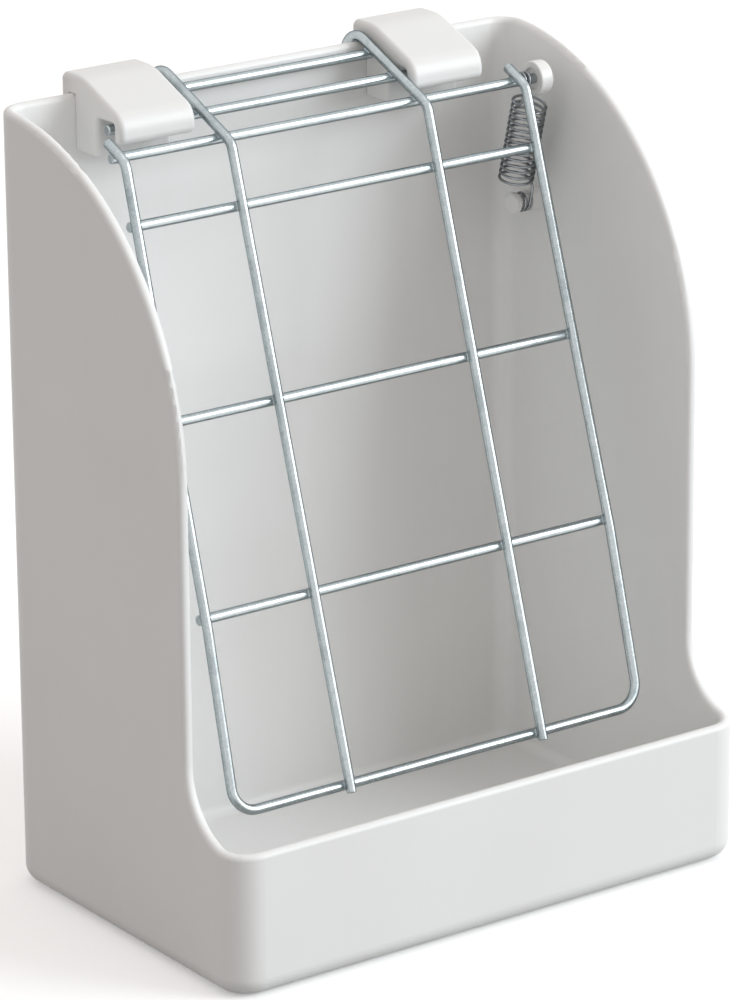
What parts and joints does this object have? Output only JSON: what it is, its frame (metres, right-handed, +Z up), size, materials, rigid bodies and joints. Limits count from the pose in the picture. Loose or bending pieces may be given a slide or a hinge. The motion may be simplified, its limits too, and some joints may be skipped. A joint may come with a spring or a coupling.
{
  "type": "hay feeder box",
  "caption": "Open-fronted moulded box that stands and holds hay behind a sprung, hinged wire grille, with a low front wall that forms a tray.",
  "frame": {"origin": "centre of the box's base, where it rests", "axes": "+Z up, +Y towards the flat back wall, +X to the right seen from the open front, the side with the spring"},
  "size_m": [0.16, 0.107, 0.2108],
  "materials": {
    "box_plastic": "satin white moulding",
    "clip_plastic": "satin white moulding",
    "plated_wire": "bright zinc plate",
    "cap_plastic": "satin white moulding",
    "spring_steel": "bright zinc plate"
  },
  "bodies": {
    "feeder": {"box": "box_plastic", "left_clip": "clip_plastic", "right_clip": "clip_plastic", "tension_spring": "spring_steel"},
    "grille": {"outer_frame": "plated_wire", "inner_wire_left": "plated_wire", "inner_wire_right": "plated_wire", "rear_bar": "plated_wire", "clip_bar": "plated_wire", "spring_rod": "plated_wire", "upper_bar": "plated_wire", "middle_bar": "plated_wire", "lower_bar": "plated_wire", "spring_cap": "cap_plastic"}
  },
  "joints": [
    {"name": "grille_swing", "type": "hinge", "parent": "feeder", "child": "grille", "pos_m": [0, 0.0495, 0.2045], "axis": [1, 0, 0], "range_deg": [-2, 21], "stiffness_Nm_per_rad": 0.033, "springref_deg": 51.57, "deforming": ["tension_spring"]}
  ]
}
